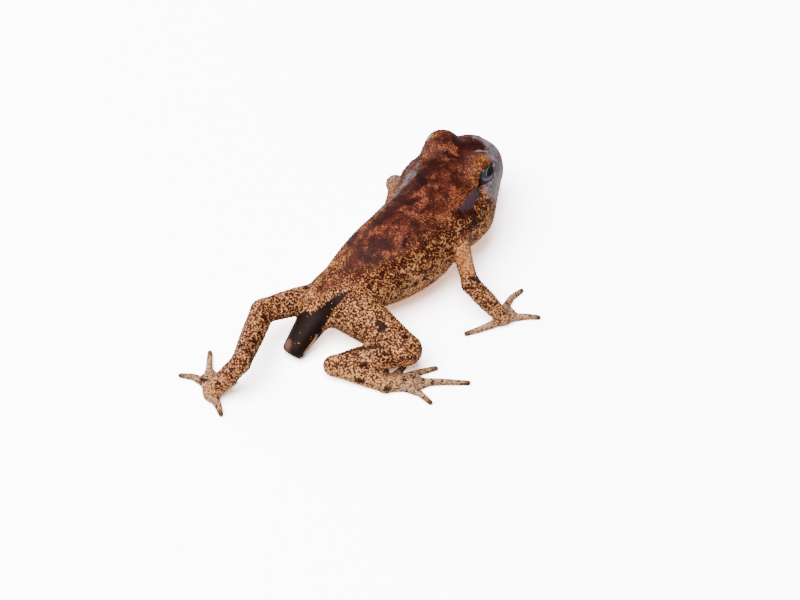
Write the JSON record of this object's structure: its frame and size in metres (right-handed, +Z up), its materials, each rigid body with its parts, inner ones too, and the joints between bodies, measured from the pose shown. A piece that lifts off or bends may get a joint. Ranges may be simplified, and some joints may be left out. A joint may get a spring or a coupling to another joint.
{
  "type": "common frog froglet with tail stub",
  "caption": "Life-size still model of a young common frog standing on a flat floor, one hind leg folded, one trailing, with the last stub of its tail.",
  "frame": {"origin": "on the floor under the middle of the frog's extent in X and Y", "axes": "+Z up, +Y towards the snout, +X to the frog's right"},
  "size_m": [0.0122, 0.0226, 0.0048],
  "materials": {
    "skin": "moist, finely granular skin, chestnut back mottled near-black, gold-flecked flanks, tan legs with dark bars",
    "eye": "wet gloss, near-black with a thin gold ring round the pupil"
  },
  "bodies": {
    "root": {"eye_left": "eye", "eye_right": "eye", "finger_1_left": "skin", "finger_1_right": "skin", "finger_2_left": "skin", "finger_2_right": "skin", "finger_3_left": "skin", "finger_3_right": "skin", "finger_4_left": "skin", "finger_4_right": "skin", "foot_left": "skin", "foot_right": "skin", "forearm_left": "skin", "forearm_right": "skin", "hand_left": "skin", "hand_right": "skin", "head": "skin", "shank_left": "skin", "shank_right": "skin", "tail_stub": "skin", "tarsus_left": "skin", "tarsus_right": "skin", "thigh_left": "skin", "thigh_right": "skin", "toe_1_left": "skin", "toe_1_right": "skin", "toe_2_left": "skin", "toe_2_right": "skin", "toe_3_left": "skin", "toe_3_right": "skin", "toe_4_left": "skin", "toe_4_right": "skin", "toe_5_left": "skin", "toe_5_right": "skin", "trunk": "skin", "upper_arm_left": "skin", "upper_arm_right": "skin"}
  },
  "joints": []
}
